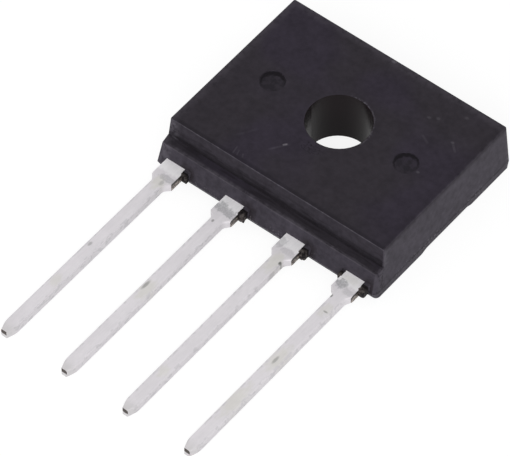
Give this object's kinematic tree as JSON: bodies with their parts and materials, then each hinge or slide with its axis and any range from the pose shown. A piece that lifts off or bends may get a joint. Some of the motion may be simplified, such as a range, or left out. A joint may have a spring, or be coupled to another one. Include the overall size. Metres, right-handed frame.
{
  "type": "single-in-line bridge rectifier",
  "caption": "Flat black moulded bridge rectifier with a central screw hole, a stepped lead end and a row of straight flat tinned leads.",
  "frame": {"origin": "on the screw hole's axis, in the plane of the rear face", "axes": "+Z along the screw hole out of the front face, +X along the row from lead 1 (positive) to lead 4 (negative), leads point to -Y"},
  "size_m": [0.0136, 0.0241, 0.0032],
  "materials": {
    "moulding_compound": "black epoxy moulding compound, fine eroded mould texture",
    "tinned_lead": "matte tin plating over copper",
    "silicon": "sawn silicon with a metallised face",
    "solder": "reflowed solder",
    "bare_copper": "bare stamped copper"
  },
  "bodies": {
    "root": {"moulded_body": "moulding_compound", "positive_lead": "tinned_lead", "ac_lead_1": "tinned_lead", "ac_lead_2": "tinned_lead", "negative_lead": "tinned_lead", "diode_die_positive_near": "silicon", "diode_die_positive_far": "silicon", "diode_die_negative_near": "silicon", "diode_die_negative_far": "silicon", "solder_under_die_positive_near": "solder", "solder_under_die_positive_far": "solder", "solder_under_die_negative_near": "solder", "solder_under_die_negative_far": "solder", "solder_on_die_positive_near": "solder", "solder_on_die_positive_far": "solder", "solder_on_die_negative_near": "solder", "solder_on_die_negative_far": "solder", "solder_under_jumper_near": "solder", "solder_under_jumper_far": "solder", "jumper_near": "bare_copper", "jumper_far": "bare_copper"}
  },
  "joints": []
}
